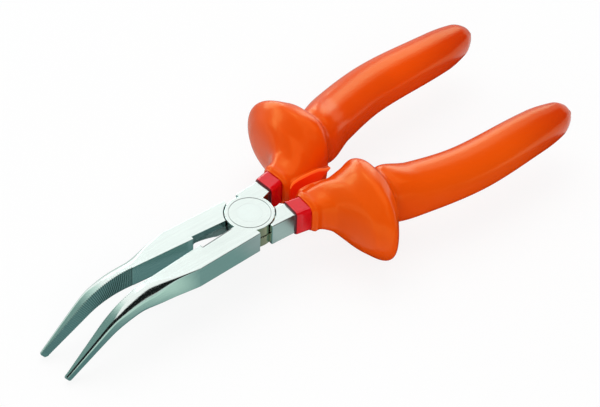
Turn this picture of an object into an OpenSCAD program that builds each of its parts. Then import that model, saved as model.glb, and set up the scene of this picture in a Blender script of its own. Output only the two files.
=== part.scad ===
// Bent long nose pliers with a side cutter and two layers of insulation on each handle.
// Sizes are in millimetres. The pivot stands on the z axis, the underside of the joint is z = 0,
// the jaws point along +x and the nose bends down. Each lever is drawn with the jaws closed
// and is then swung about the pivot to the opening shown.

/* [Joint] */

// thickness of the head and of the straight part of the jaws
head_t = 8.6; // [7.6:0.1:9.6]
// radius of the round lap on each lever
lap_r = 8.55; // [8:0.05:8.9]
// slit between the two laps
lap_gap = 0.5; // [0.3:0.05:0.6]
// slit round each lap
ring_gap = 0.45; // [0.35:0.05:0.6]
// radius of the pivot rivet
rivet_r = 3.2; // [2.6:0.1:3.6]
// how far the flush rivet heads stand out round the shank
rivet_lip = 1.1; // [0.6:0.1:1.4]
// running clearance between the rivet and the lever that turns on it
run_fit = 0.05; // [0.03:0.01:0.08]
// half of the angle between the jaws as shown
half_open = 4.25; // [3:0.05:9]

/* [Jaws] */

// half of the slit left between the jaws when they are closed
jaw_gap = 0.18; // [0.15:0.01:0.3]
// outside of a jaw beside the joint, from the closing line
jaw_w = 9.6; // [9.2:0.05:10.5]
// rear end of a jaw, forward of the pivot
jaw_rear = 4.0; // [3.8:0.1:4.6]
// end of the square part of a jaw
square_end = 30; // [28:0.5:34]
// outside of a jaw where the square part ends
square_w = 8.45; // [7.6:0.05:9]
// start of the bend
bend_at = 48.3; // [44:0.1:52]
// radius of the bend
bend_r = 30; // [26:0.5:40]
// angle of the bend
bend_a = 36; // [20:1:42]
// straight nose after the bend
tip_l = 20.3; // [14:0.1:24]
// width of one jaw at the tip
tip_w = 1.5; // [1.3:0.1:2.4]
// height of the jaw at the tip
tip_h = 3.4; // [3:0.1:4.4]
// spacing of the fine teeth
tooth_pitch = 1; // [0.8:0.05:1.4]
// depth of the fine teeth
tooth_d = 0.2; // [0.1:0.01:0.25]

/* [Cutter] */

// front end of the side cutter
cut_end = 22.7; // [20:0.1:25]
// how far the wall above the cutter is set back
cut_back = 1.2; // [0.8:0.05:1.5]
// depth of that wall from the top face
cut_wall = 2.6; // [2:0.1:3]
// spread of the bevel behind the cutting edge, at the underside
cut_bevel = 4.3; // [3.4:0.1:4.8]
// radius of the grinding that runs the edge out at the front
cut_runout = 24; // [16:1:40]
// depth below the top face at which the arched window in front of the edge starts
cut_arch = 3.8; // [3.5:0.1:4.6]
// rounding of the front end of that window
arch_r = 3; // [2:0.1:3.6]

/* [Shanks] */

// front end of a shank, behind the pivot
shank_front = 2.5; // [2.3:0.1:3.2]
// width of a shank where the insulation starts
shank_w = 6.25; // [5.6:0.05:6.8]
// width of the tang at its rear end
tang_w = 5.2; // [4.2:0.1:6]
// length of the tang behind the pivot
tang_l = 112; // [104:0.5:114]

/* [Insulation] */

// front edge of the inner sleeve, behind the pivot
sleeve_at = 12.2; // [11.6:0.1:13.5]
// wall of the inner sleeve
sleeve_t = 0.95; // [0.7:0.05:1.2]
// front edge of the outer grip, behind the pivot
grip_at = 18; // [17:0.1:19.5]
// length of the handle behind the pivot
handle_l = 124.6; // [120:0.2:134]
// reach of the hand guard from the closing line
guard_out = 36.7; // [32:0.1:39]
// half of the height of the hand guard
guard_h = 16.5; // [13.5:0.1:18]
// outside of the neck behind the guard, from the closing line
neck_out = 23.25; // [22:0.05:25]
// inside of the neck, from the closing line
neck_in = 6.45; // [5.6:0.05:7]
// half of the height of the neck
neck_h = 10.3; // [9.4:0.1:11]
// middle of the palm from the closing line
palm_out = 20.4; // [19:0.1:22]
// half of the height of the grip at the palm
palm_h = 7.7; // [7.3:0.1:9]
// half of the width of the grip at the palm
palm_w = 8.7; // [8:0.1:10]
// how far the palm stands out from the neck behind the guard
palm_step = 0.5; // [0.2:0.05:0.8]
// half of the space between the flat tabs of the two grips when the jaws are closed
grip_flat = 0.25; // [0.2:0.05:0.35]
// length of the flat tab
tab_l = 19.2; // [16:0.2:20]
// half of the height of the flat tab
tab_h = 5; // [4.4:0.1:5.6]
// bonded joint between layers
bond = 0.03; // [0.02:0.01:0.05]

/* [Hidden] */

steel = [0.72, 0.75, 0.76];
red = [0.75, 0.05, 0.06];
orange = [0.93, 0.36, 0.08];

mid_z = head_t / 2;
lap_t = (head_t - lap_gap) / 2;
room_r = lap_r + ring_gap;
guard_at = 35.5;
neck_at = 45;
shoulder_at = 47;
corner_r = 1.5;
ring_n = 32;
sleeve_end = tang_l + 2;
window_h = head_t - cut_arch;

// smooth curves through a few points

// slope of the straight line from point i to the next one
function secant(p, i) = (p[i + 1][1] - p[i][1]) / (p[i + 1][0] - p[i][0]);

// slope of the curve at point i, level wherever the points turn back
function slope(p, i) =
    i == 0 ? secant(p, 0) :
    i == len(p) - 1 ? secant(p, i - 1) :
    secant(p, i - 1) * secant(p, i) <= 0 ? 0 :
    2 / (1 / secant(p, i - 1) + 1 / secant(p, i));

// number of the stretch of the curve that holds u
function stretch(p, u, i = 0) = i >= len(p) - 2 || u <= p[i + 1][0] ? i : stretch(p, u, i + 1);

// cubic between point i and the next one, t running from 0 to 1
function cubic(p, i, t, h) =
    (1 + 2 * t) * (1 - t) ^ 2 * p[i][1] + t * (1 - t) ^ 2 * h * slope(p, i)
    + t ^ 2 * (3 - 2 * t) * p[i + 1][1] + t ^ 2 * (t - 1) * h * slope(p, i + 1);

// height of the curve through the points p at u
function curve(p, u) =
    let (i = stretch(p, u), h = p[i + 1][0] - p[i][0])
    cubic(p, i, (min(max(u, p[0][0]), p[len(p) - 1][0]) - p[i][0]) / h, h);

// number raised to a power, with its sign kept
function power(a, e) = sign(a) * abs(a) ^ e;

// list in the opposite order
function turned(list) = [for (i = [len(list) - 1:-1:0]) list[i]];

// closed skin over a row of rings that have the same number of points
module skin(rings) {
    n = len(rings[0]);
    last = (len(rings) - 1) * n;
    walls = [
        for (i = [0:len(rings) - 2], j = [0:n - 1], k = [0, 1])
            let (a = i * n + j, b = i * n + (j + 1) % n)
            k == 0 ? [a, a + n, b + n] : [a, b + n, b]
    ];
    ends = [[for (j = [0:n - 1]) j], [for (j = [n - 1:-1:0]) last + j]];
    polyhedron([for (r = rings) each r], concat(walls, ends));
}

// nose of a jaw: the path runs straight, round the bend, then straight to the tip

arc_l = bend_r * bend_a * PI / 180;
run_l = bend_at - square_end;
nose_l = run_l + arc_l + tip_l;

// angle of the nose below the x axis at the distance s along the path
function dip(s) = min(max(s - run_l, 0), arc_l) / arc_l * bend_a;

// point of the path at the distance s, in x and z
function path(s) =
    [square_end + min(s, run_l), mid_z]
    + bend_r * [sin(dip(s)), cos(dip(s)) - 1]
    + max(s - run_l - arc_l, 0) * [cos(bend_a), -sin(bend_a)];

// width of the jaw, as a share of the way from the tip back to the square part
function jaw_wide(share) = tip_w + share * (square_w - tip_w);

// width and height of the jaw along the path
nose_wide = [
    [0, square_w], [run_l * 0.7, jaw_wide(0.63)], [run_l, jaw_wide(0.54)],
    [run_l + arc_l / 2, jaw_wide(0.46)], [run_l + arc_l, jaw_wide(0.32)], [nose_l, tip_w]
];
nose_high = [[0, head_t], [run_l, head_t - 0.2], [run_l + arc_l, tip_h * 1.8], [nose_l, tip_h]];

// rounding of the upper and the lower outer edge along the path
round_top = [
    [0, 0.15], [run_l * 0.4, 0.9], [run_l * 0.95, 4.8], [run_l + arc_l * 0.5, 2.8],
    [run_l + arc_l * 0.8, 1.4], [nose_l, tip_w * 0.65]
];
round_low = [
    [0, 0.15], [run_l * 0.7, 0.3], [run_l + arc_l * 0.35, 2.2], [run_l + arc_l, 2.2],
    [nose_l, tip_w * 0.75]
];

// section of the jaw at s: flat on the inside, with two rounded edges on the outside
function nose_ring(s, inset, shrink = 0) =
    let (
        w = curve(nose_wide, s) - shrink,
        h = curve(nose_high, s) / 2 - shrink,
        room = w - jaw_gap - inset - 0.1,
        low = min(curve(round_low, s), room, 0.9 * h),
        top = min(curve(round_top, s), room, 2 * h - low - 0.1),
        outline = concat(
            [[jaw_gap + inset, -h]],
            [for (a = [-90:18:0]) [w - low + low * cos(a), -h + low + low * sin(a)]],
            [for (a = [0:15:90]) [w - top + top * cos(a), h - top + top * sin(a)]],
            [[jaw_gap + inset, h]]
        ),
        d = dip(s),
        p = path(s)
    )
    [for (q = outline) [p[0] + q[1] * sin(d), q[0], p[1] + q[1] * cos(d)]];

tooth_from = run_l - 1.5;
tooth_n = floor((nose_l - tooth_from - 1.4) / tooth_pitch);

module nose() {
    plain = [for (k = [0:9]) nose_ring(tooth_from * k / 10, 0)];
    teeth = [
        for (k = [0:2 * tooth_n])
            nose_ring(tooth_from + k * tooth_pitch / 2, k % 2 == 0 ? 0 : tooth_d)
    ];
    tip = [nose_ring(nose_l - 0.5, 0), nose_ring(nose_l, 0.2, 0.45)];
    skin(concat(plain, teeth, tip));
}

// outline of the square part of a jaw, seen from above
module jaw_plan() {
    polygon([
        [jaw_rear, jaw_gap], [square_end, jaw_gap], [square_end, square_w], [jaw_rear, jaw_w]
    ]);
}

// arched outline of the window in front of the edge, seen from the side
module window() {
    translate([0, jaw_w, 0])
        rotate([90, 0, 0])
            linear_extrude(2 * jaw_w)
                union() {
                    translate([0, -2])
                        square([cut_end - arch_r, window_h + 2.5]);
                    translate([0, -2])
                        square([cut_end, window_h - arch_r + 2.5]);
                    translate([cut_end - arch_r, window_h - arch_r + 0.5])
                        circle(r = arch_r, $fn = 60);
                }
}

// side cutter: a set back wall, a bevel down to the edge, and the bevel behind the edge
module cutter() {
    translate([0, 0, head_t])
        rotate([90, 0, 90])
            linear_extrude(cut_end)
                polygon([
                    [-1, 1], [jaw_gap + cut_back, 1], [jaw_gap + cut_back, -cut_wall],
                    [jaw_gap, -mid_z], [jaw_gap + cut_bevel, -head_t], [jaw_gap + cut_bevel, -head_t - 1],
                    [-1, -head_t - 1]
                ]);
    // the edge runs out to nothing along an arc just behind the gripping face
    intersection() {
        translate([cut_end - 0.7, jaw_gap + cut_back - cut_runout, -1])
            cylinder(r = cut_runout, h = head_t + 2, $fn = 180);
        translate([0, -jaw_w, -1])
            cube([cut_end, 2 * jaw_w, head_t + 2]);
    }
    // lower down the same arc widens, so that light falls through the window
    intersection() {
        translate([cut_end - 0.7, jaw_gap + cut_back - cut_runout, -1])
            cylinder(r1 = cut_runout + window_h + 1, r2 = cut_runout - 1, h = window_h + 2, $fn = 180);
        window();
    }
}

// middle and half width of the tang, behind the pivot
shank_mid = 3.13 + shank_w / 2;
tang_line = [
    [sleeve_at, shank_mid], [20, 7.3], [30, 11.2], [neck_at, 14.6],
    [60, palm_out - 2.1], [78, palm_out - 0.2], [100, palm_out - 1.8], [tang_l, palm_out - 2.5]
];
tang_half = [[sleeve_at, shank_w / 2], [30, shank_w / 2], [60, tang_w * 0.58], [tang_l, tang_w / 2]];
tang_at = [sleeve_at, 16, 20, 25, 30, 35, 40, neck_at, 52, 60, 69, 78, 89, 100, tang_l];

// outline of the tang seen from above, with a margin
module tang_plan(grow = 0) {
    along = concat([for (i = [0:len(tang_at) - 2]) tang_at[i]], [tang_l + grow]);
    polygon(concat(
        [for (u = along) [-u, curve(tang_line, u) + curve(tang_half, u) + grow]],
        [for (u = turned(along)) [-u, curve(tang_line, u) - curve(tang_half, u) - grow]]
    ));
}

// outline of the shank between the joint and the insulation
module shank_plan() {
    polygon([
        [-shank_front, shank_mid + shank_w / 2 + 0.35], [-sleeve_at, shank_mid + shank_w / 2],
        [-sleeve_at, shank_mid - shank_w / 2], [-lap_r + 1.5, 1.9], [-shank_front, 4]
    ]);
}

// one lever, jaw on the +y side and handle on the -y side, jaws closed
module lever(on_top) {
    difference() {
        union() {
            linear_extrude(head_t)
                jaw_plan();
            mirror([0, 1, 0])
                linear_extrude(head_t)
                    union() {
                        shank_plan();
                        tang_plan();
                    }
            nose();
        }
        // room for the lap of the other lever
        translate([0, 0, on_top ? -1 : lap_t])
            cylinder(r = room_r, h = head_t - lap_t + 1, $fn = 120);
        cutter();
    }
    // the round lap stays whole beside the cutter
    translate([0, 0, on_top ? head_t - lap_t : 0])
        cylinder(r = lap_r, h = lap_t, $fn = 120);
}

// shape that the rivet fills, with a margin on the radius and at the two faces
module rivet_form(grow, over) {
    shank_r = rivet_r + grow;
    translate([0, 0, -over])
        cylinder(r = shank_r, h = head_t + 2 * over, $fn = 72);
    for (m = [0, 1])
        translate([0, 0, m * head_t])
            mirror([0, 0, m])
                translate([0, 0, -over])
                    cylinder(r1 = shank_r + rivet_lip + over, r2 = shank_r, h = rivet_lip + over, $fn = 72);
}

// the lever with the near jaw; its lap lies on top
module lever_a() {
    color(steel)
        rotate([0, 0, half_open])
            difference() {
                lever(true);
                rivet_form(bond, 0.01);
                // plain ring cut in the round face
                translate([0, 0, head_t - 0.12])
                    difference() {
                        cylinder(r = lap_r - 1.2, h = 1, $fn = 120);
                        translate([0, 0, -1])
                            cylinder(r = lap_r - 1.45, h = 3, $fn = 120);
                    }
            }
}

// the lever with the far jaw; its lap lies underneath
module lever_b() {
    color(steel)
        rotate([0, 0, -half_open])
            mirror([0, 1, 0])
                difference() {
                    lever(false);
                    rivet_form(run_fit, 0.01);
                }
}

// flush rivet, fast in the upper lever, its ends ground level with the faces
module rivet() {
    color(steel)
        rivet_form(0, 0);
}

// rounded box section of the inner sleeve at u behind the pivot
function sleeve_ring(u, at, grow) =
    let (
        y = curve(tang_line, u),
        w = curve(tang_half, u) + sleeve_t + grow - corner_r,
        h = head_t / 2 + sleeve_t + grow - corner_r
    )
    [
        for (q = [[1, 1, 0], [-1, 1, 90], [-1, -1, 180], [1, -1, 270]], a = [0:22.5:90])
            [-at, y + q[0] * w + corner_r * cos(q[2] + a), mid_z + q[1] * h + corner_r * sin(q[2] + a)]
    ];

module sleeve_form(front, grow) {
    inner = [for (u = tang_at) if (u > front + 1 && u < sleeve_end - 1) u];
    skin(turned(concat(
        [sleeve_ring(front, front, grow)],
        [for (u = inner) sleeve_ring(u, u, grow)],
        [sleeve_ring(sleeve_end, sleeve_end + grow, grow)]
    )));
}

// inner sleeve for a handle on the +y side
module sleeve() {
    difference() {
        sleeve_form(sleeve_at, 0);
        translate([0, 0, -bond])
            linear_extrude(head_t + 2 * bond)
                union() {
                    tang_plan(bond);
                    translate([-sleeve_at - 0.5, shank_mid - shank_w / 2 - bond])
                        square([1.5, shank_w + 2 * bond]);
                }
    }
}

module sleeve_a() {
    color(red)
        rotate([0, 0, half_open])
            mirror([0, 1, 0])
                sleeve();
}

module sleeve_b() {
    color(red)
        rotate([0, 0, -half_open])
            sleeve();
}

// place along the palm, as a share of its length
function palm(share) = shoulder_at + share * (handle_l - shoulder_at);

// outlines of the outer grip behind the pivot: middle, outside, inside and half height
lip_at = grip_at + 1.3;
dent_at = grip_at + 2.3;
nib_at = handle_l - 1;
grip_mid = [
    [grip_at, 6.9], [25, 9.6], [31, 17.2], [guard_at, 17], [40.5, 14.4], [neck_at, 14.4],
    [palm(0.08), palm_out - 0.37 * palm_w], [palm(0.25), palm_out - 0.08 * palm_w],
    [palm(0.43), palm_out], [palm(0.7), palm_out - 0.23 * palm_w], [handle_l, palm_out - 0.36 * palm_w]
];
grip_out = [
    [grip_at, 12.1], [lip_at, 13], [dent_at, 12.9], [24.5, 16], [30, guard_out - 4.6],
    [guard_at - 1, guard_out], [40, guard_out - 6], [neck_at, neck_out],
    [shoulder_at, neck_out + 0.3 + palm_step],
    [palm(0.13), palm_out + 0.77 * palm_w], [palm(0.39), palm_out + palm_w],
    [palm(0.79), palm_out + 0.59 * palm_w], [palm(0.92), palm_out + 0.32 * palm_w],
    [palm(0.973), palm_out + 0.03 * palm_w], [nib_at, palm_out - 0.16 * palm_w],
    [handle_l, palm_out - 0.23 * palm_w]
];
grip_in = [
    [grip_at, 1.2], [lip_at, 0.5], [dent_at, 0.6], [25, 0.4], [29.5, 0.6], [guard_at - 1, 1.25],
    [38.5, 2], [41.5, 4.5], [neck_at, neck_in], [shoulder_at, neck_in + 0.5 - palm_step],
    [palm(0.13), palm_out - 1.31 * palm_w], [palm(0.39), palm_out - palm_w],
    [palm(0.79), palm_out - 1.11 * palm_w], [palm(0.92), palm_out - 0.94 * palm_w],
    [palm(0.973), palm_out - 0.7 * palm_w], [nib_at, palm_out - 0.55 * palm_w],
    [handle_l, palm_out - 0.48 * palm_w]
];
grip_high = [
    [grip_at, 5.8], [lip_at, 6.6], [dent_at, 6.5], [24.5, 7.6], [30, guard_h - 4.2],
    [guard_at + 1, guard_h], [40, guard_h - 0.8], [neck_at, neck_h],
    [shoulder_at, neck_h - 0.1 + palm_step],
    [palm(0.13), 1.14 * palm_h], [palm(0.39), palm_h], [palm(0.79), 0.94 * palm_h],
    [palm(0.92), 0.81 * palm_h], [palm(0.973), 0.51 * palm_h], [nib_at, 0.22 * palm_h],
    [handle_l, 0.14 * palm_h]
];

// fullness of the outer and the inner half of the section: 2 is an ellipse, higher values are squarer
full_out = [[grip_at, 3.4], [24, 2.8], [30, 2.15], [guard_at, 2.3], [neck_at, 2.4], [handle_l, 2.4]];
full_in = [[grip_at, 3.4], [24, 2.8], [31, 2.1], [34.5, 2.2], [38.5, 2.9], [neck_at, 2.4], [handle_l, 2.4]];

// oval section of the outer grip at u behind the pivot
function grip_ring(u) =
    let (
        mid = curve(grip_mid, u),
        out = curve(grip_out, u) - mid,
        in = mid - curve(grip_in, u),
        high = curve(grip_high, u)
    )
    [
        for (j = [0:ring_n - 1])
            let (
                a = 360 * j / ring_n,
                outer = cos(a) > 0,
                e = 2 / curve(outer ? full_out : full_in, u)
            )
            [-u, mid + (outer ? out : in) * power(cos(a), e), mid_z + high * power(sin(a), e)]
    ];

// places of the sections, closer together at the lip, the guard, the neck and the rounded end
grip_along = concat(
    [grip_at, grip_at + 0.3, grip_at + 0.7, lip_at, dent_at, 21.7, 23, 24.5, 26, 27.3, 28.6, 30],
    [31.5, 33, 34.5, 36, 38, 40, 41.5, 43, 44.2, neck_at, neck_at + 0.6, neck_at + 1.2, shoulder_at],
    [for (s = [0.015, 0.05, 0.11, 0.18, 0.27, 0.36, 0.46, 0.57, 0.68, 0.79, 0.86]) palm(s)],
    [for (s = [0.91, 0.94, 0.96, 0.973, 0.982]) palm(s)],
    [nib_at, nib_at + 0.4, handle_l]
);

// half height of the flat tab along its length, both as shares
tab_at = grip_at + 1.4;
tab_deep = 2.7;
tab_side = [
    [0, 0.68], [0.03, 0.88], [0.09, 0.98], [0.2, 1], [0.5, 0.85], [0.7, 0.66], [0.85, 0.33], [1, 0.06]
];
tab_along = [0, 0.03, 0.09, 0.2, 0.35, 0.5, 0.6, 0.7, 0.77, 0.84, 0.92, 1];

// flat tab on the inside of the guard, which meets the tab of the other grip
module tab() {
    translate([0, grip_flat + tab_deep, mid_z])
        rotate([90, 0, 0])
            linear_extrude(tab_deep)
                polygon(concat(
                    [for (s = tab_along) [-tab_at - s * tab_l, tab_h * curve(tab_side, s)]],
                    [for (s = turned(tab_along)) [-tab_at - s * tab_l, -tab_h * curve(tab_side, s)]]
                ));
}

// outer grip for a handle on the +y side
module grip() {
    difference() {
        union() {
            skin(turned([for (u = grip_along) grip_ring(u)]));
            tab();
        }
        sleeve_form(grip_at - 1, bond);
    }
}

module grip_a() {
    color(orange)
        rotate([0, 0, half_open])
            mirror([0, 1, 0])
                grip();
}

module grip_b() {
    color(orange)
        rotate([0, 0, -half_open])
            grip();
}

lever_a();
lever_b();
rivet();
sleeve_a();
sleeve_b();
grip_a();
grip_b();
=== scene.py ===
# %% [markdown]
# # Bent nose pliers
# A pair of insulated pliers is two forged steel levers on one flush rivet, with two layers of dipped plastic on
# each handle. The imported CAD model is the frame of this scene. Every piece below is worked out with numpy from
# the same few sizes, so it lies where its CAD solid lies, only with finer curves, finer teeth and softer edges.

# %% Load the frame
import math

import bpy
import numpy as np
from mathutils import Matrix, Vector


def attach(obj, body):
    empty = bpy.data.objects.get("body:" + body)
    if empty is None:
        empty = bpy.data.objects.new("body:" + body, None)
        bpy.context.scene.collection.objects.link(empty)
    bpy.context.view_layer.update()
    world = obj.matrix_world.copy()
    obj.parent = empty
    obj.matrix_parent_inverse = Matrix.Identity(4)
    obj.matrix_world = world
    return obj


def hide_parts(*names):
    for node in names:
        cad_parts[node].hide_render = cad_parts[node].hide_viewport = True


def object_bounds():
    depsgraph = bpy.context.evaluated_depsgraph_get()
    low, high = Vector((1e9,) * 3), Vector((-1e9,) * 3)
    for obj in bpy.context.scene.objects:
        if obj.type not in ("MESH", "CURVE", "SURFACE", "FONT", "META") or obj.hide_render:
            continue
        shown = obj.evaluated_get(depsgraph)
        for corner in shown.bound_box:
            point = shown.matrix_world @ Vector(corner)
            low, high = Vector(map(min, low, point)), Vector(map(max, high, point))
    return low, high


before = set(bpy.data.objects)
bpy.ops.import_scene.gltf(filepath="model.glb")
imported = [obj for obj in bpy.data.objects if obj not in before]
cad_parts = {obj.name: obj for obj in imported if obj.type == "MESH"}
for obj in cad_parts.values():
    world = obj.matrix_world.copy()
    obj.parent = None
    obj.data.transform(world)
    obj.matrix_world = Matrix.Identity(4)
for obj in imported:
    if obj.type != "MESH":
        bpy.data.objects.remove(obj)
cad_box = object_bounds()
MM = 0.001
print("CAD nodes:", ", ".join(sorted(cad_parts)))

# %% [markdown]
# ## The camera
# The picture was taken from above and in front with a long lens, so that the tool hardly tapers with distance.
# A camera could be placed by eye. Here its turn, rise and roll were fitted to the round joint, which has to come
# out as a true circle. The camera stands on that line of sight, moved sideways until the joint falls in its place.

# %% Camera
HEAD_THICK = 8.6
CAMERA_TURN, CAMERA_RISE, CAMERA_ROLL = np.radians([138.97, 44.09, 2.07])
CAMERA_AWAY = 1096.4
CAMERA_SHIFT = (16.95, 3.06)
PICTURE_WIDE, FOCAL_PIXELS = 600, 3258.0


def sight_axes(turn, rise, roll):
    """Right, up and back of a camera that stands at a turn and rise, then rolls about its line of sight."""
    back = Vector((math.sin(turn) * math.cos(rise), -math.cos(turn) * math.cos(rise), math.sin(rise)))
    right = Vector((math.cos(turn), math.sin(turn), 0))
    up = back.cross(right)
    return right * math.cos(roll) + up * math.sin(roll), up * math.cos(roll) - right * math.sin(roll), back


right, up, back = sight_axes(CAMERA_TURN, CAMERA_RISE, CAMERA_ROLL)
lens = bpy.data.cameras.new("camera")
lens.sensor_width = 36
lens.lens = FOCAL_PIXELS / PICTURE_WIDE * lens.sensor_width
lens.clip_end = 20
camera = bpy.data.objects.new("camera", lens)
stand = Vector((0, 0, HEAD_THICK)) + CAMERA_AWAY * back + CAMERA_SHIFT[0] * right + CAMERA_SHIFT[1] * up
camera.matrix_world = Matrix.Translation(stand * MM) @ Matrix((right, up, back)).transposed().to_4x4()
bpy.context.scene.collection.objects.link(camera)
bpy.context.scene.camera = camera
print("camera at", [round(v, 3) for v in camera.location], "lens", round(lens.lens, 1))

# %% [markdown]
# ## Shader maths in Python
# A material is a tree of nodes, and placing nodes one by one hides the idea behind them. The class below wraps one
# output socket, so that `1 - mask` or `a * b` adds the Math node it needs. Any other node comes from `make`.

# %% A socket that can be calculated with
class Value:
    """One output socket of a node tree."""

    def __init__(self, tree, socket):
        self.tree, self.socket = tree, socket

    def make(self, kind, sockets, out=0, stops=None, **settings):
        """Add a node: first its settings, then a value or a link for each named or numbered socket."""
        node = self.tree.nodes.new(kind)
        for name, setting in settings.items():
            setattr(node, name, setting)
        if stops:
            ramp = node.color_ramp.elements
            while len(ramp) < len(stops):
                ramp.new(1)
            for stop, (place, colour) in zip(ramp, stops):
                stop.position, stop.color = place, colour
        for key, value in sockets.items():
            if isinstance(value, Value):
                self.tree.links.new(value.socket, node.inputs[key])
            else:
                node.inputs[key].default_value = value
        return Value(self.tree, node.outputs[out])

    def math(self, operation, *values):
        """A Math node with this operation on the values."""
        return self.make("ShaderNodeMath", dict(enumerate(values)), operation=operation)

    def __add__(self, other):
        return self.math("ADD", self, other)

    def __sub__(self, other):
        return self.math("SUBTRACT", self, other)

    def __rsub__(self, other):
        return self.math("SUBTRACT", other, self)

    def __mul__(self, other):
        return self.math("MULTIPLY", self, other)

    __radd__, __rmul__ = __add__, __mul__

    def absolute(self):
        """This value without its sign."""
        return self.math("ABSOLUTE", self)

    def at_least(self, other):
        """The larger of this value and another."""
        return self.math("MAXIMUM", self, other)

    def at_most(self, other):
        """The smaller of this value and another."""
        return self.math("MINIMUM", self, other)

    def ease(self, low, high):
        """0 below low, 1 above high, and a soft step between them; low may be the larger one."""
        return self.make("ShaderNodeMapRange", {"Value": self, "From Min": low, "From Max": high},
                         interpolation_type="SMOOTHSTEP")

    def band(self, low, high, soft):
        """1 from low to high, with a soft step down to 0 on either side."""
        return self.ease(low - soft, low) * self.ease(high + soft, high)

    def blend(self, first, second):
        """Colour between two colours; this value is the share of the second."""
        return self.make("ShaderNodeMix", {0: self, 6: first, 7: second}, out=2, data_type="RGBA")

    def noise(self, scale, detail=2.0, rough=0.5):
        """Noise on this vector, which is in metres; scale gives a grain's size in millimetres on each axis."""
        grains = self.make("ShaderNodeVectorMath", {0: self, 1: [1000 / s for s in scale]}, operation="MULTIPLY")
        return self.make("ShaderNodeTexNoise",
                         {"Vector": grains, "Scale": 1, "Detail": detail, "Roughness": rough})

    def axes(self):
        """The three parts of this vector, in millimetres."""
        split = self.make("ShaderNodeSeparateXYZ", {0: self}).socket.node
        return [Value(self.tree, output) * 1000 for output in split.outputs]


def new_tree(owner):
    """Switch an owner's nodes on and return a Value to start from, the Object coordinates."""
    owner.use_nodes = True
    coordinates = owner.node_tree.nodes.new("ShaderNodeTexCoord")
    return Value(owner.node_tree, coordinates.outputs["Object"])


def light_path(start, *rays):
    """1 for a ray of any of the named kinds, and 0 for others."""
    path = start.make("ShaderNodeLightPath", {}).socket.node
    first, *rest = [Value(start.tree, path.outputs[f"Is {ray} Ray"]) for ray in rays]
    for other in rest:
        first = first.at_least(other)
    return first


def painted(tone, *coats):
    """A colour with coats laid over it in turn: each coat is a mask and the colour that it brings."""
    for mask, colour in coats:
        tone = mask.blend(tone, (*colour, 1))
    return tone


print("socket class ready")

# %% [markdown]
# ## Meshes from whole arrays
# Forged and dipped shapes are easiest to say as outlines: a section that changes along a path. Modelling tools
# such as extrude and bevel could follow by hand. Here each piece is a stack of rings, computed at once as one
# array, and the helper closes the stack at both ends with a middle point. A flat has a row of points one rim's
# width inside its edge, which keeps it flat, and a body that cuts stands clear of the faces it cuts through.

# %% Curves and arcs
RIM, CLEAR = 0.1, 1


def curve(points, at):
    """Smooth curve through the points: a cubic between two points, with the harmonic mean of the neighbouring
    slopes at each point and a level stretch wherever the points turn back."""
    x, y = np.array(points, float).T
    slopes = np.diff(y) / np.diff(x)
    before, after = slopes[:-1], slopes[1:]
    turning = before * after <= 0
    bends = np.where(turning, 0, 2 * before * after / np.where(turning, 1, before + after))
    ends = np.concatenate([slopes[:1], bends, slopes[-1:]])
    at = np.clip(at, x[0], x[-1])
    i = np.clip(np.searchsorted(x, at, side="right") - 1, 0, len(x) - 2)
    h = x[i + 1] - x[i]
    t = (at - x[i]) / h
    return ((1 + 2 * t) * (1 - t) ** 2 * y[i] + t * (1 - t) ** 2 * h * ends[i]
            + t ** 2 * (3 - 2 * t) * y[i + 1] + t ** 2 * (t - 1) * h * ends[i + 1])


def even_steps(outlines, start, end, count):
    """Places between start and end whose steps are equal along the steepest of the outlines."""
    fine = np.linspace(start, end, 4000)
    rise = np.max([np.abs(np.gradient(curve(line, fine), fine)) for line in outlines], axis=0)
    travelled = np.concatenate([[0], np.cumsum(np.hypot(1, rise)[1:])])
    return np.interp(np.linspace(0, travelled[-1], count), travelled, fine)


def quarter(count):
    """Angles over a quarter circle, from 0 to a right angle."""
    return np.linspace(0, np.pi / 2, count)


print("a quarter circle in four points:", np.degrees(quarter(4)).round().tolist())

# %% Rings to mesh
def closed_mesh(name, rings):
    """Mesh over rings[i, j] in millimetres: ring i joins ring i + 1, and a middle point closes each end. The sum
    of the cones from the origin to the faces is the volume; if it is negative, all faces are turned round."""
    count, round_count = rings.shape[:2]
    points = np.concatenate([rings.reshape(-1, 3), rings[[0, -1]].mean(axis=1)])
    j = np.arange(round_count)
    after = (j + 1) % round_count
    start = np.arange(count - 1)[:, None] * round_count
    walls = np.stack([start + j, start + after, start + after + round_count, start + j + round_count], axis=-1)
    walls = walls.reshape(-1, 4)
    last = (count - 1) * round_count
    caps = np.concatenate([
        np.stack([np.full(round_count, len(points) - 2), after, j], axis=-1),
        np.stack([np.full(round_count, len(points) - 1), last + j, last + after], axis=-1)])
    corners = points[np.concatenate([walls[:, :3], walls[:, [0, 2, 3]], caps])]
    volume = np.einsum("ij,ij->", corners[:, 0], np.cross(corners[:, 1], corners[:, 2])) / 6
    turn = 1 if volume > 0 else -1
    mesh = bpy.data.meshes.new(name)
    mesh.from_pydata((points * MM).tolist(), [], walls[:, ::turn].tolist() + caps[:, ::turn].tolist())
    print(f"{name}: {len(mesh.polygons)} faces, {abs(volume):.0f} mm3")
    return mesh


def combine(base, tool, operation):
    """Boolean of two closed meshes; the result is a new closed mesh."""
    pair = [bpy.data.objects.new("work", mesh) for mesh in (base, tool)]
    for item in pair:
        bpy.context.scene.collection.objects.link(item)
    cut = pair[0].modifiers.new("cut", "BOOLEAN")
    cut.operation, cut.object, cut.solver = operation, pair[1], "MANIFOLD"
    graph = bpy.context.evaluated_depsgraph_get()
    mesh = bpy.data.meshes.new_from_object(pair[0].evaluated_get(graph))
    for item in pair:
        old = item.data
        bpy.data.objects.remove(item)
        bpy.data.meshes.remove(old)
    return mesh


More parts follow.
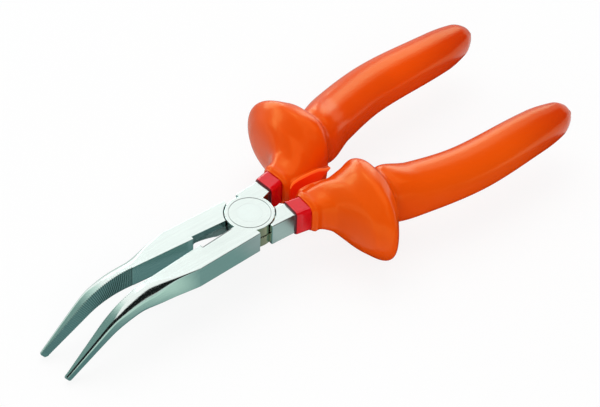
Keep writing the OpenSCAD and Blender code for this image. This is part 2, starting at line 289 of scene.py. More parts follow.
HALF_OPEN = 4.25
OPEN_UPPER = Matrix.Rotation(math.radians(HALF_OPEN), 4, "Z")
OPEN_LOWER = Matrix.Rotation(math.radians(-HALF_OPEN), 4, "Z")
OTHER_SIDE = Matrix.Diagonal((1, -1, 1, 1))
STEEL_SHARP, PLASTIC_SHARP = 35, 60


def finish_piece(name, mesh, place, body, node, sharp):
    """Put a mesh in its place and hang it on the empty of its body, in place of the CAD node, which is hidden.
    Edges that turn by more than `sharp` degrees stay sharp. A place that mirrors turns the faces inside out, so
    they are turned back."""
    mesh.materials.clear()
    mesh.transform(place)
    if place.determinant() < 0:
        mesh.flip_normals()
    mesh.shade_smooth()
    mesh.set_sharp_from_angle(angle=math.radians(sharp))
    piece = bpy.data.objects.new(name, mesh)
    bpy.context.scene.collection.objects.link(piece)
    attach(piece, body)
    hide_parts(node)
    return piece


print("mesh helpers ready")

# %% [markdown]
# ## The outer grips
# The grips are dipped plastic with a large guard that keeps the hand off the steel. A grip could be sculpted, but
# its outline is plain when seen from above and from the side. So it is an oval section whose middle, outside,
# inside and half height are four smooth curves along the handle. A flat tab on the inside of the guard, with the
# outline of half a lens, is a body of its own and is joined on with a Boolean modifier.

# %% Handle outlines
MID_Z = HEAD_THICK / 2
SLEEVE_AT, SLEEVE_THICK, SLEEVE_CORNER, SLEEVE_EDGE = 12.2, 0.95, 1.5, 0.5
SHANK_WIDE, SHANK_MID = 6.25, 3.13 + 6.25 / 2
TANG_WIDE, TANG_END, TANG_CORNER = 5.2, 112, 0.2
SLEEVE_END, HOLLOW_CORNER = 114, 0.3
GRIP_AT, GRIP_END, BOND = 18, 124.6, 0.03
LIP_AT, LIP_BULGE, DENT_AT = GRIP_AT + 1.3, 0.3, GRIP_AT + 2.3
GUARD_AT, GUARD_OUT, GUARD_HIGH = 35.5, 36.7, 16.5
NECK_AT, NECK_OUT, NECK_IN, NECK_HIGH = 45, 23.25, 6.45, 10.3
SHOULDER_AT, PALM_OUT, PALM_WIDE, PALM_HIGH, PALM_STEP = 47, 20.4, 8.7, 7.7, 0.5
END_ROUND = 0.5
TAB_FACE, TAB_DEEP, TAB_AT, TAB_LONG, TAB_HIGH = 0.25, 2.7, GRIP_AT + 1.4, 19.2, 5.0

tang_line = [(SLEEVE_AT, SHANK_MID), (20, 7.3), (30, 11.2), (NECK_AT, 14.6), (60, PALM_OUT - 2.1),
             (78, PALM_OUT - 0.2), (100, PALM_OUT - 1.8), (TANG_END, PALM_OUT - 2.5)]
tang_half = [(SLEEVE_AT, SHANK_WIDE / 2), (30, SHANK_WIDE / 2), (60, TANG_WIDE * 0.58), (TANG_END, TANG_WIDE / 2)]


def palm(*rows, size=PALM_WIDE, base=PALM_OUT):
    """Points of the palm: each row is a share of its length and a share of its half width or height."""
    return [(SHOULDER_AT + share * (GRIP_END - SHOULDER_AT), base + part * size) for share, part in rows]


NIB = 1 - 1 / (GRIP_END - SHOULDER_AT)
grip_mid = [(GRIP_AT, 6.9), (25, 9.6), (31, 17.2), (GUARD_AT, 17), (40.5, 14.4), (NECK_AT, 14.4),
            *palm((0.08, -0.37), (0.25, -0.08), (0.43, 0), (0.7, -0.23), (1, -0.36))]
grip_out = [(GRIP_AT, 12.1), (LIP_AT, 13), (DENT_AT, 12.9), (24.5, 16), (30, GUARD_OUT - 4.6),
            (GUARD_AT - 1, GUARD_OUT), (40, GUARD_OUT - 6), (NECK_AT, NECK_OUT),
            (SHOULDER_AT, NECK_OUT + 0.3 + PALM_STEP),
            *palm((0.13, 0.77), (0.39, 1), (0.79, 0.59), (0.92, 0.32), (0.973, 0.03), (NIB, -0.16), (1, -0.23))]
grip_in = [(GRIP_AT, 1.2), (LIP_AT, 0.5), (DENT_AT, 0.6), (25, 0.4), (29.5, 0.6), (GUARD_AT - 1, 1.25),
           (38.5, 2), (41.5, 4.5), (NECK_AT, NECK_IN), (SHOULDER_AT, NECK_IN + 0.5 - PALM_STEP),
           *palm((0.13, -1.31), (0.39, -1), (0.79, -1.11), (0.92, -0.94), (0.973, -0.7), (NIB, -0.55),
                 (1, -0.48))]
grip_high = [(GRIP_AT, 5.8), (LIP_AT, 6.6), (DENT_AT, 6.5), (24.5, 7.6), (30, GUARD_HIGH - 4.2),
             (GUARD_AT + 1, GUARD_HIGH), (40, GUARD_HIGH - 0.8), (NECK_AT, NECK_HIGH),
             (SHOULDER_AT, NECK_HIGH - 0.1 + PALM_STEP),
             *palm((0.13, 1.14), (0.39, 1), (0.79, 0.94), (0.92, 0.81), (0.973, 0.51), (NIB, 0.22), (1, 0.14),
                   size=PALM_HIGH, base=0)]
full_out = [(GRIP_AT, 3.4), (24, 2.8), (30, 2.15), (GUARD_AT, 2.3), (NECK_AT, 2.4), (GRIP_END, 2.4)]
full_in = [(GRIP_AT, 3.4), (24, 2.8), (31, 2.1), (34.5, 2.2), (38.5, 2.9), (NECK_AT, 2.4), (GRIP_END, 2.4)]
tab_side = [(0, 0.68), (0.03, 0.88), (0.09, 0.98), (0.2, 1), (0.5, 0.85), (0.7, 0.66), (0.85, 0.33), (1, 0.06)]
print("grip from", GRIP_AT, "to", GRIP_END, "mm behind the pivot, guard", GUARD_OUT, "mm out")

# %% Grip sections
ROUND, ALONG_GRIP, ALONG_HOLLOW, ALONG_TANG = 112, 260, 50, 40
THIN = 0.06


def oval_rings(at, size=None):
    """Oval sections at the distances behind the pivot: each half is a cosine and a sine raised to 2 / fullness, so
    that a higher fullness is squarer."""
    at = np.asarray(at, float)[:, None]
    size = np.ones_like(at) if size is None else np.asarray(size)[:, None]
    angle = np.linspace(0, 2 * np.pi, ROUND, endpoint=False)
    outer = np.cos(angle) > 0
    power = 2 / np.where(outer, curve(full_out, at), curve(full_in, at))
    across = np.sign(np.cos(angle)) * np.abs(np.cos(angle)) ** power
    above = np.sign(np.sin(angle)) * np.abs(np.sin(angle)) ** power
    mid = curve(grip_mid, at)
    centre = (curve(grip_out, at) + curve(grip_in, at)) / 2
    reach = np.where(outer, curve(grip_out, at) - mid, mid - curve(grip_in, at))
    y = centre + size * (mid + reach * across - centre)
    z = MID_Z + size * curve(grip_high, at) * above
    return np.stack(np.broadcast_arrays(-at, y, z), axis=-1)


def tab_rings(edge=0.35):
    """The flat tab as a stack of its outlines from the inside of the guard to the face, where they shrink along a
    quarter circle. An outline runs along the upper side and back along the lower side."""
    v = quarter(6)
    inset = np.concatenate([[0], edge * (1 - np.cos(v))])[:, None]
    level = np.concatenate([[TAB_FACE + TAB_DEEP], TAB_FACE + edge * (1 - np.sin(v))])[:, None]
    share = (1 - np.cos(np.linspace(0, np.pi, 60))) / 2
    along = TAB_AT + inset + share * (TAB_LONG - 2 * inset)
    half = np.maximum(TAB_HIGH * curve(tab_side, share) - inset, THIN)
    u = np.concatenate([along, along[:, ::-1]], axis=1)
    z = MID_Z + np.concatenate([half, -half[:, ::-1]], axis=1)
    return np.stack(np.broadcast_arrays(-u, level, z), axis=-1)


def box_rings(at, grow, place=None, corner=SLEEVE_CORNER):
    """Rounded box sections round the tang: four quarter circles whose middles stand in from the box's corners. The
    section is that at the distance `at`, and lies at the distance `place`."""
    at, grow = np.broadcast_arrays(np.asarray(at, float)[:, None], np.asarray(grow, float)[..., None])
    place = at if place is None else np.asarray(place, float)[:, None]
    angle = np.concatenate([quarter(ROUND // 4) + turn * np.pi / 2 for turn in range(4)])
    side = np.repeat([1, -1, -1, 1], ROUND // 4)
    level = np.repeat([1, 1, -1, -1], ROUND // 4)
    y = curve(tang_line, at) + side * (curve(tang_half, at) + grow - corner) + corner * np.cos(angle)
    z = MID_Z + level * (HEAD_THICK / 2 + grow - corner) + corner * np.sin(angle)
    return np.stack(np.broadcast_arrays(-place, y, z), axis=-1)


print("sections have", ROUND, "points")

# %% Make the grips
def grip_rings():
    """The rings of one grip, from the closed end of its hollow forward to the lip, over the lip and back to the
    end of the handle. The lip is half a circle from the hollow to the outside; the end is a quarter circle."""
    hollow = box_rings(np.linspace(SLEEVE_END, GRIP_AT, ALONG_HOLLOW), SLEEVE_THICK + BOND)
    round_at = GRIP_END - END_ROUND
    outside = oval_rings(even_steps([grip_out, grip_in, grip_high], GRIP_AT, round_at, ALONG_GRIP))
    t = np.linspace(0, np.pi, 11)[1:-1, None, None]
    share = (1 - np.cos(t)) / 2
    lip = hollow[-1] * (1 - share) + outside[0] * share + np.array([LIP_BULGE, 0, 0]) * np.sin(t)
    v = quarter(8)[1:-1]
    end = oval_rings(np.full(len(v), round_at), np.cos(v))
    end[:, :, 0] = -(round_at + END_ROUND * np.sin(v)[:, None])
    return np.concatenate([hollow, lip, outside, end])


def grip_mesh(name):
    """One grip with its tab."""
    return combine(closed_mesh(name, grip_rings()), closed_mesh(name + " tab", tab_rings()), "UNION")


grip_upper = finish_piece("grip_far", grip_mesh("grip_far"), OPEN_UPPER @ OTHER_SIDE, "upper_lever", "grip_a",
                          PLASTIC_SHARP)
grip_lower = finish_piece("grip_near", grip_mesh("grip_near"), OPEN_LOWER, "lower_lever", "grip_b",
                          PLASTIC_SHARP)

# %% [markdown]
# ## The inner sleeves
# Under the orange lies a red layer, so that worn through insulation shows. Only its front end is seen, as a collar
# with softly rounded corners. It could be a cube with a bevel; a stack of rounded boxes round the tang also gives
# it the hollow that the steel fills.

# %% Make the sleeves
def sleeve_rings():
    """The rings of one sleeve: its hollow forward to the front face, a quarter circle round the front edge, and
    the outside back to the closed end."""
    hollow = box_rings(np.linspace(TANG_END, SLEEVE_AT, ALONG_TANG), BOND, corner=HOLLOW_CORNER)
    v = quarter(8)
    front = box_rings(np.full(len(v), SLEEVE_AT), SLEEVE_THICK - SLEEVE_EDGE * (1 - np.sin(v)),
                      SLEEVE_AT + SLEEVE_EDGE * (1 - np.cos(v)))
    outside = box_rings(np.linspace(SLEEVE_AT + SLEEVE_EDGE + RIM, SLEEVE_END, ALONG_HOLLOW), SLEEVE_THICK)
    return np.concatenate([hollow, front, outside])


sleeve_upper = finish_piece("sleeve_far", closed_mesh("sleeve_far", sleeve_rings()), OPEN_UPPER @ OTHER_SIDE,
                            "upper_lever", "sleeve_a", PLASTIC_SHARP)
sleeve_lower = finish_piece("sleeve_near", closed_mesh("sleeve_near", sleeve_rings()), OPEN_LOWER,
                            "lower_lever", "sleeve_b", PLASTIC_SHARP)

# %% [markdown]
# ## The forged levers
# A lever is one forging: jaw, half lap, shank and tang. It is first built up from plain bodies, as a smith would
# draw it: the jaw with its bent nose as one long loft, the lap as a turned disc, the shank as a block. Then the
# machining is cut away with Boolean modifiers: the room for the other lap, the cutting edge and the rivet hole.

# %% Jaw outlines
LAP_R, LAP_GAP, ROOM_R = 8.55, 0.5, 9.0
LAP_THICK = (HEAD_THICK - LAP_GAP) / 2
JAW_GAP, JAW_REAR, JAW_WIDE = 0.18, 4.0, 9.6
SQUARE_END, SQUARE_WIDE = 30, 8.45
BEND_AT, BEND_R, BEND = 48.3, 30, math.radians(36)
TIP_LONG, TIP_WIDE, TIP_HIGH, TIP_ROUND, TIP_SLOPE = 20.3, 1.5, 3.4, 0.6, 0.3
TOOTH_PITCH, TOOTH_DEEP, TOOTH_BEFORE, TOOTH_STOP = 0.7, 0.15, 1.5, 1.4
INNER_EDGE = 0.08
ALONG_SQUARE, ALONG_PLAIN = 14, 40
RUN, ARC = BEND_AT - SQUARE_END, BEND_R * BEND
NOSE = RUN + ARC + TIP_LONG


def wide_share(share):
    """Width of the jaw, as a share of the way from the tip back to the square part."""
    return TIP_WIDE + share * (SQUARE_WIDE - TIP_WIDE)


nose_wide = [(0, SQUARE_WIDE), (RUN * 0.7, wide_share(0.63)), (RUN, wide_share(0.54)),
             (RUN + ARC / 2, wide_share(0.46)), (RUN + ARC, wide_share(0.32)), (NOSE, TIP_WIDE)]
nose_high = [(0, HEAD_THICK), (RUN, HEAD_THICK - 0.2), (RUN + ARC, TIP_HIGH * 1.8), (NOSE, TIP_HIGH)]
round_top = [(0, 0.2), (RUN * 0.4, 0.9), (RUN * 0.95, 3.8), (RUN + ARC * 0.5, 2.6), (RUN + ARC * 0.8, 1.4),
             (NOSE, TIP_WIDE * 0.65)]
round_low = [(0, 0.2), (RUN * 0.7, 0.3), (RUN + ARC * 0.35, 2.2), (RUN + ARC, 2.2), (NOSE, TIP_WIDE * 0.75)]
print("nose", round(NOSE, 1), "mm along its middle line")

# %% Jaw with its bent nose
def half_round(wide, high, top, low, inset):
    """Sections in y and z: flat on the inside, with a quarter circle at the upper and the lower outer corner. Each
    flat has a point close to its ends, which keeps it flat up to the rounding."""
    wide, high, top, low, inset = [np.asarray(a, float)[:, None] for a in (wide, high, top, low, inset)]
    inner = JAW_GAP + inset
    room = wide - inner - RIM
    low = np.minimum(np.minimum(low, room), 0.9 * high)
    top = np.minimum(np.minimum(top, room), 2 * high - low - RIM)
    soft = np.full_like(top, INNER_EDGE)
    fine, few = quarter(21), quarter(4)
    between = np.array([0.03, 0.25, 0.5, 0.75, 0.97])

    def corner(y, z, r, turn, angle):
        return y + r * np.cos(angle + turn), z + r * np.sin(angle + turn)

    def flat(y0, z0, y1, z1):
        return y0 + (y1 - y0) * between, z0 + (z1 - z0) * between

    parts = [
        corner(wide - low, -high + low, low, -np.pi / 2, fine),
        flat(wide, -high + low, wide, high - top),
        corner(wide - top, high - top, top, 0, fine),
        flat(wide - top, high, inner + soft, high),
        corner(inner + soft, high - soft, soft, np.pi / 2, few),
        flat(inner, high - soft, inner, soft - high),
        corner(inner + soft, soft - high, soft, np.pi, few),
        flat(inner + soft, -high, wide - low, -high)]
    rows = np.ones_like(wide)
    return [np.concatenate([rows * part[axis] for part in parts], axis=1) for axis in (0, 1)]


def jaw_rings():
    """The jaw from beside the joint to the tip. Its sections follow a path that runs straight, round an arc and
    straight again, and stand square to it. From the bend on, every second section is pressed in by a tooth. The
    tip shrinks along a quarter circle."""
    tooth_from = RUN - TOOTH_BEFORE
    teeth = int((NOSE - tooth_from - TOOTH_STOP) / TOOTH_PITCH)
    plain = np.concatenate([np.linspace(JAW_REAR - SQUARE_END, 0, ALONG_SQUARE)[:-1],
                            np.linspace(0, tooth_from, ALONG_PLAIN)[:-1]])
    toothed = tooth_from + np.arange(2 * teeth + 1) * TOOTH_PITCH / 2
    v = quarter(7)
    blunt = NOSE - TIP_ROUND + TIP_ROUND * np.sin(v)
    s = np.concatenate([plain, toothed, blunt])
    inset = np.concatenate([np.zeros(len(plain)), TOOTH_DEEP * (np.arange(len(toothed)) % 2),
                            TIP_SLOPE * (1 - np.cos(v))])
    shrink = np.concatenate([np.zeros(len(plain) + len(toothed)), TIP_ROUND * (1 - np.cos(v))])
    wide = np.interp(s, [JAW_REAR - SQUARE_END, 0], [JAW_WIDE, SQUARE_WIDE])
    wide = np.where(s < 0, wide, curve(nose_wide, s)) - shrink
    y, z = half_round(wide, curve(nose_high, s) / 2 - shrink, curve(round_top, s), curve(round_low, s), inset)
    dip = np.clip(s - RUN, 0, ARC) / BEND_R
    beyond = np.maximum(s - RUN - ARC, 0)
    along = np.minimum(s, RUN) + BEND_R * np.sin(dip) + beyond * math.cos(BEND)
    fall = BEND_R * (np.cos(dip) - 1) - beyond * math.sin(BEND)
    x = SQUARE_END + along[:, None] + z * np.sin(dip)[:, None]
    return np.stack([x, y, MID_Z + fall[:, None] + z * np.cos(dip)[:, None]], axis=-1)


print("jaw sections:", jaw_rings().shape[0])

# %% Turned discs and blocks
RIVET_R, RIVET_SINK, FREE_PLAY, PROUD = 3.2, 1.1, 0.05, 0.05


def turned(profile, round_count=144):
    """A profile of radius and height turned about the pivot axis."""
    radius, height = np.array(profile, float).T[..., None]
    angle = np.linspace(0, 2 * np.pi, round_count, endpoint=False)
    return np.stack(np.broadcast_arrays(radius * np.cos(angle), radius * np.sin(angle), height), axis=-1)


def disc(radius, low, high, edge=0.0):
    """Profile of a disc: a quarter circle at the lower and the upper edge, or a plain corner."""
    v = quarter(6) if edge else np.zeros(1)
    lower = np.stack([radius - edge + edge * np.sin(v), low + edge - edge * np.cos(v)], axis=1)
    upper = np.stack([radius - edge + edge * np.cos(v), high - edge + edge * np.sin(v)], axis=1)
    inside = radius - edge - RIM
    return np.concatenate([[[inside, low]], lower, upper, [[inside, high]]])


def rivet_profile(grow, over):
    """Half section of the flush rivet: a shank with a 45 degree countersunk head at each end. A hole for it is
    wider by `grow` and longer by `over`."""
    shank = RIVET_R + grow
    ends = [(shank + RIVET_SINK + over, -over), (shank, RIVET_SINK)]
    return np.array(ends + [(r, HEAD_THICK - z) for r, z in ends[::-1]])


def block_rings(outline, low, high, edge=0.25, corner=0.4):
    """A block over a convex outline: its corners moved in by the corner radius, and an arc round each of them
    whose radius shrinks as a quarter circle at the lower and the upper edge."""
    points = np.array(outline, float)
    sides = np.roll(points, -1, axis=0) - points
    normal = np.stack([sides[:, 1], -sides[:, 0]], axis=1) / np.linalg.norm(sides, axis=1)[:, None]
    reach = np.einsum("ij,ij->i", normal, points) - corner
    both = np.stack([np.roll(normal, 1, axis=0), normal], axis=1)
    middle = np.linalg.solve(both, np.stack([np.roll(reach, 1), reach], axis=1)[..., None])[..., 0]
    first = np.arctan2(both[:, 0, 1], both[:, 0, 0])
    swing = (np.arctan2(both[:, 1, 1], both[:, 1, 0]) - first + np.pi) % (2 * np.pi) - np.pi
    angle = first[:, None] + swing[:, None] * np.linspace(0, 1, 7)
    v = quarter(6)
    level = np.concatenate([[low], low + edge * (1 - np.cos(v)), high - edge * (1 - np.sin(v)), [high]])
    flat = [corner - edge - RIM]
    radius = np.concatenate([flat, corner - edge * (1 - np.sin(v)), corner - edge * (1 - np.cos(v)), flat])
    radius = radius[:, None, None]
    x = (middle[:, :1] + radius * np.cos(angle)).reshape(len(level), -1)
    y = (middle[:, 1:] + radius * np.sin(angle)).reshape(len(level), -1)
    return np.stack(np.broadcast_arrays(x, y, level[:, None]), axis=-1)


print("rivet", 2 * RIVET_R, "mm thick,", 2 * (RIVET_R + RIVET_SINK), "mm over its heads")

# %% What the side cutter takes away
CUT_END, CUT_BACK, CUT_WALL, CUT_BEVEL = 22.7, 1.2, 2.6, 4.3
SET_BACK = JAW_GAP + CUT_BACK
CUT_CIRCLE, RUN_OUT_AT = 24, 13
CIRCLE_X, CIRCLE_Y = CUT_END - 0.7, SET_BACK - CUT_CIRCLE
WINDOW_HIGH = HEAD_THICK - 3.8
ARCH_R, ARCH_TOP, ARCH_FOOT = 3, WINDOW_HIGH + 0.5, -2


def cutter_rings():
    """The room over the cutting edge: a set back wall, a bevel to the edge and the relief behind it. Along the jaw
    it is deepened by a large circle, so that the edge runs out to nothing in front."""
    x = np.concatenate([np.linspace(0, RUN_OUT_AT - 1, 4), np.linspace(RUN_OUT_AT, CUT_END, 24)])[:, None]
    y = JAW_GAP + np.array([1, 1, 0.5, 0, 0, 0, 0, 0]) * CUT_BACK
    y = y + np.array([0, 0, 0, 0, 0.25, 0.5, 1, 1]) * CUT_BEVEL
    z = HEAD_THICK - np.array([-CLEAR, CUT_WALL, (CUT_WALL + MID_Z) / 2, MID_Z, MID_Z * 1.25, MID_Z * 1.5,
                               HEAD_THICK, HEAD_THICK + CLEAR])
    face = np.maximum(y, CIRCLE_Y + np.sqrt(CUT_CIRCLE ** 2 - (x - CIRCLE_X) ** 2))
    y = np.concatenate([face, np.full_like(face, -CLEAR)], axis=1)
    z = np.broadcast_to(np.concatenate([z, z[::-1]]), y.shape)
    return np.stack(np.broadcast_arrays(x, y, z), axis=-1)


def arch_rings():
    """Two arched outlines on either side of the closing line: a block whose front upper corner is a quarter
    circle."""
    v = quarter(16)
    x = np.concatenate([[0, CUT_END], CUT_END - ARCH_R * (1 - np.cos(v)), [0]])
    z = np.concatenate([[ARCH_FOOT, ARCH_FOOT], ARCH_TOP - ARCH_R * (1 - np.sin(v)), [ARCH_TOP]])
    y = np.array([[-JAW_WIDE], [JAW_WIDE]])
    return np.stack(np.broadcast_arrays(x, y, z), axis=-1)


print("cutter sections:", cutter_rings().shape[0])

# %% Forge a lever
RING_R, RING_WIDE, RING_DEEP = LAP_R - 1.2, 0.25, 0.12
LAP_EDGE = 0.15
SHANK_IN, SHANK_OUT = SHANK_MID - SHANK_WIDE / 2, SHANK_MID + SHANK_WIDE / 2
shank_outline = [(-2.5, -(SHANK_OUT + 0.35)), (-2.5, -4), (-LAP_R + 1.5, -1.9), (-SLEEVE_AT - 1, -SHANK_IN),
                 (-SLEEVE_AT - 1, -SHANK_OUT)]


def tang_rings():
    """The shank runs back into the sleeve as a tang: a box section that follows the tang's middle line."""
    return box_rings(np.linspace(SLEEVE_AT - 0.5, TANG_END, ALONG_TANG), 0.0, corner=TANG_CORNER) * [1, -1, 1]


def lever_mesh(name, on_top):
    """One lever with its jaw on the +y side and its tang on the -y side, jaws closed."""
    low, high = (HEAD_THICK - LAP_THICK, HEAD_THICK) if on_top else (0, LAP_THICK)
    room = (-CLEAR, low) if on_top else (high, HEAD_THICK + CLEAR)
    jaw = closed_mesh(name + " jaw", jaw_rings())
    jaw = combine(jaw, closed_mesh("room", turned(disc(ROOM_R, *room))), "DIFFERENCE")
    jaw = combine(jaw, closed_mesh("cutter", cutter_rings()), "DIFFERENCE")
    cone = [(CUT_CIRCLE + WINDOW_HIGH + CLEAR, -CLEAR), (CUT_CIRCLE - CLEAR, WINDOW_HIGH + CLEAR)]
    cone = turned(cone, round_count=360)
    cone = closed_mesh("cone", cone + [CIRCLE_X, CIRCLE_Y, 0])
    window = combine(cone, closed_mesh("arch", arch_rings()), "INTERSECT")
    jaw = combine(jaw, window, "DIFFERENCE")
    shank = closed_mesh(name + " shank", block_rings(shank_outline, 0, HEAD_THICK))
    shank = combine(shank, closed_mesh("tang", tang_rings()), "UNION")
    shank = combine(shank, closed_mesh("room", turned(disc(ROOM_R, *room))), "DIFFERENCE")
    lever = combine(closed_mesh(name + " lap", turned(disc(LAP_R, low, high, LAP_EDGE))), jaw, "UNION")
    lever = combine(lever, shank, "UNION")
    hole = closed_mesh("rivet hole", turned(rivet_profile(BOND if on_top else FREE_PLAY, PROUD)))
    return combine(lever, hole, "DIFFERENCE")


upper_mesh = lever_mesh("upper lever", True)
ring = closed_mesh("ring", turned(disc(RING_R, HEAD_THICK - RING_DEEP, HEAD_THICK + CLEAR)))
core = closed_mesh("ring core", turned(disc(RING_R - RING_WIDE, HEAD_THICK - CLEAR, HEAD_THICK + 2 * CLEAR)))
upper_mesh = combine(upper_mesh, combine(ring, core, "DIFFERENCE"), "DIFFERENCE")
lower_mesh = lever_mesh("lower lever", False)
lever_upper = finish_piece("lever_near_jaw", upper_mesh, OPEN_UPPER, "upper_lever", "lever_a",
                           STEEL_SHARP)
lever_lower = finish_piece("lever_far_jaw", lower_mesh, OPEN_LOWER @ OTHER_SIDE, "lower_lever", "lever_b",
                           STEEL_SHARP)
for lever in (lever_upper, lever_lower):
    weld = lever.modifiers.new("doubled points become one", "WELD")
    weld.merge_threshold = 0.001 * MM
    weights = lever.modifiers.new("flat faces stay flat", "WEIGHTED_NORMAL")
    weights.keep_sharp = True
    print(lever.name, len(lever.data.polygons), "faces")

# %% Rivet
rivet = finish_piece("pivot_rivet", closed_mesh("pivot_rivet", turned(rivet_profile(0, 0))), Matrix.Identity(4),
                     "upper_lever", "rivet", STEEL_SHARP)

# %% [markdown]
# ## Finishes
# A flat colour with one roughness would look like a toy, so each finish varies a little. The steel is ground and
# polished: fine grinding lines run along it. Its colour is painted darker, as painted shade, in the ring groove,
# on the walls of the slit between the laps, along the top edge over the cutter and between the teeth; the cutter's
# wall and bevel are darker too, and the bevel is rougher. Such places could be painted by hand; here masks find
# them by their distance from the pivot, from the closing line and along the nose.

# %% Helpers for finishes
def new_finish(name, **sockets):
    """A material with the values that are the same all over set on its shader; returns it, its shader and a
    start."""
    material = bpy.data.materials.new(name)
    start = new_tree(material)
    shader = material.node_tree.nodes["Principled BSDF"]
    for key, value in sockets.items():
        shader.inputs[key.replace("_", " ")].default_value = value
    return material, shader, start


def feed(shader, **values):
    """Link values that change over the surface to the shader's sockets."""
    for key, value in values.items():
        value.tree.links.new(value.socket, shader.inputs[key.replace("_", " ")])


def as_if_closed(x, y, side):
    """How far a point lies ahead of the pivot and out from the closing line once its lever is turned until the
    jaws close; side is 1 on the jaws and -1 on the handles, which lie across from them."""
    tilt, out = side * math.radians(HALF_OPEN), y.absolute()
    return x * math.cos(tilt) + out * math.sin(tilt), out * math.cos(tilt) - x * math.sin(tilt)


def tooth_path(ahead, drop):
    """Length of the nose's middle line from the first tooth to a point: the straight before the bend, the turn
    about the middle of the bend times its radius, and the straight beyond it."""
    past_bend = ahead - BEND_AT
    turn = past_bend.math("ARCTAN2", past_bend, drop + BEND_R).at_least(0).at_most(BEND)
    beyond = (past_bend - BEND_R * math.sin(BEND)) * math.cos(BEND)
    beyond = beyond - (drop - BEND_R * (math.cos(BEND) - 1)) * math.sin(BEND)
    return past_bend.at_most(0) + turn * BEND_R + beyond.at_least(0) + TOOTH_BEFORE


print("finish helpers ready")

# %% Steel
steel, shader, place = new_finish("ground_steel", Metallic=1.0, IOR=1.5)
x, y, z = place.axes()
ahead, inside = as_if_closed(x, y, 1)
drop = z - MID_Z
height = drop.absolute()
squares = x * x + y * y
away = squares.math("SQRT", squares)
top_face = z.ease(HEAD_THICK - 0.4, HEAD_THICK - 0.2)

lap_wall = away.band(LAP_R - 0.05, LAP_R + 0.15, 0.15) * height.ease(MID_Z - 0.05, MID_Z - 0.2) * y.ease(2, 4)
# Painted shade: the walls of the slit between the two laps are painted almost black.
slit_wall_shade = away.band(ROOM_R - 0.1, ROOM_R + 0.15, 0.15) * height.ease(MID_Z - 0.02, MID_Z - 0.1)
slit_wall_shade = slit_wall_shade * x.ease(0.5, 2)
# Painted shade: the ring groove on the lap's top face is painted darker.
ring_groove_shade = away.band(RING_R - RING_WIDE, RING_R, 0.08) * top_face

cut_foot = HEAD_THICK - CUT_WALL
cut_face = inside.ease(SET_BACK + 0.37, SET_BACK + 0.22) * x.ease(ROOM_R - 1, ROOM_R)
bevel = cut_face * z.ease(cut_foot + 0.2, cut_foot + 0.05) * z.ease(MID_Z - 0.5, MID_Z - 0.2)
bevel = bevel * x.ease(CUT_END + 0.3, CUT_END - 0.7)
cut_wall = cut_face * z.ease(cut_foot, cut_foot + 0.3) * z.ease(HEAD_THICK - 0.1, HEAD_THICK - 0.3)
cut_wall = cut_wall * x.ease(CUT_END + 0.8, CUT_END - 0.7)
# Painted shadow: a dark line along the top inner edge over the cutter.
top_edge_shadow = inside.ease(SET_BACK + 0.44, SET_BACK + 0.34) * top_face * x.ease(ROOM_R, ROOM_R + 1.5)
top_edge_shadow = top_edge_shadow * x.ease(CUT_END + 0.5, CUT_END - 0.5) * y.ease(0, 1)

path = tooth_path(ahead, drop)
path_end = TOOTH_BEFORE + ARC + TIP_LONG
teeth = path * (1 / TOOTH_PITCH)
# Painted shade: the valleys between the teeth are painted darker, most of all near the first teeth.
tooth_valley_shade = (teeth.math("FRACT", teeth) - 0.5).absolute().ease(0.34, 0.12) * inside.ease(0.75, 0.6)
tooth_valley_shade = tooth_valley_shade * path.ease(0, 0.1) * path.ease(path_end - 1, path_end - 2)

streaks = place.noise((30, 0.35, 0.35), detail=3)
cloud = place.noise((14, 9, 9), detail=2)
bright = (streaks * 0.6 + cloud * 0.4).ease(0.25, 0.75)
tone = painted(bright.blend((0.785, 0.86, 0.825, 1), (0.87, 0.945, 0.905, 1)),
               (ring_groove_shade * 0.5, (0.36, 0.39, 0.38)),
               (lap_wall * 0.9, (0.62, 0.54, 0.33)),
               (slit_wall_shade * 0.97, (0.01, 0.012, 0.012)),
               (bevel * 0.9, (0.42, 0.52, 0.51)),
               (cut_wall * 0.7, (0.22, 0.26, 0.26)),
               (top_edge_shadow * 0.85, (0.12, 0.13, 0.13)),
               (tooth_valley_shade * (path.ease(30, 8) * 0.4 + 0.2), (0.20, 0.23, 0.22)))
feed(shader, Base_Color=tone, Roughness=streaks * 0.08 + bevel * 0.4 + 0.14,
     Normal=place.make("ShaderNodeBump", {"Height": streaks, "Strength": 0.05, "Distance": 0.0002}))
for lever in (lever_upper, lever_lower):
    lever.data.materials.append(steel)

rivet_steel, shader, place = new_finish("rivet_steel", Metallic=1.0)
turnings = place.noise((0.4, 0.4, 3), detail=2)
feed(shader, Base_Color=turnings.blend((0.81, 0.885, 0.85, 1), (0.85, 0.925, 0.885, 1)),
     Roughness=turnings * 0.1 + 0.16)
rivet.data.materials.append(rivet_steel)
print("steel finishes made")

# %% [markdown]
# Dipped plastic is glossy and never quite even: a faint ripple bends its highlights, and its colour drifts. The
# handles get redder towards their ends. The near grip is painted lighter and yellower, a painted light. The thin
# tab's face has a painted glow and is painted darker towards its front, a painted shade; a painted highlight runs
# along its upper rim, where the glow is strongest. A plain red or orange plastic would do from afar, but these
# small changes are what the eye expects.

# %% Plastics
orange, shader, place = new_finish("dipped_orange", Specular_IOR_Level=0.5, Specular_Tint=(1, 0.88, 0.2, 1),
                                   Emission_Strength=1.0)
ripple = place.noise((2.4, 2.4, 2.4), detail=3, rough=0.45)
drift = place.noise((22, 16, 16), detail=2)
x, y, z = place.axes()
ahead, inside = as_if_closed(x, y, -1)
tab_share = (ahead + TAB_AT) * (-1 / TAB_LONG)
tab_stops = [(at, (half, half, half, 1)) for at, half in tab_side]
tab_half = tab_share.make("ShaderNodeValToRGB", {0: tab_share}, stops=tab_stops)
